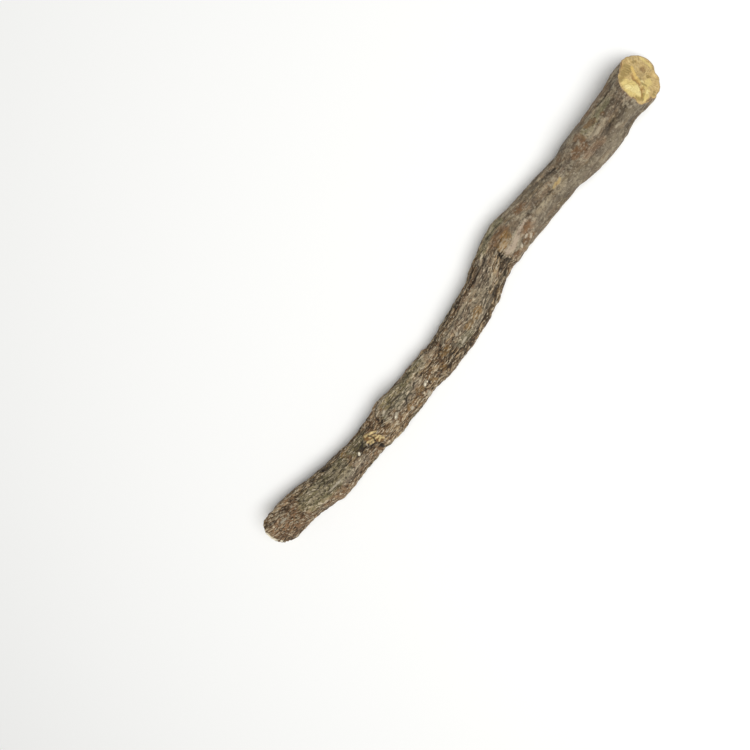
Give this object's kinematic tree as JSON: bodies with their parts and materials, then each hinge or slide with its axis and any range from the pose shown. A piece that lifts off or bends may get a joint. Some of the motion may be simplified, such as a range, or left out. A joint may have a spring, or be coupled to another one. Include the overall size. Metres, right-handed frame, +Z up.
{
  "type": "licorice root",
  "caption": "Dried, cut length of licorice root with wrinkled grey-brown bark, a bent knee and pale slanted cut ends, lying down.",
  "frame": {"origin": "on the surface that the root lies on, below the middle of its outline seen from above", "axes": "+X along the root from its lower cut to the long slanted upper cut, +Z up, +Y to the left of +X"},
  "size_m": [0.1831, 0.0198, 0.0162],
  "materials": {
    "bark": "matt, wrinkled and furrowed dry bark, with pale yellow fibrous wood on the two cut ends"
  },
  "bodies": {
    "root": {"licorice_root": "bark"}
  },
  "joints": []
}
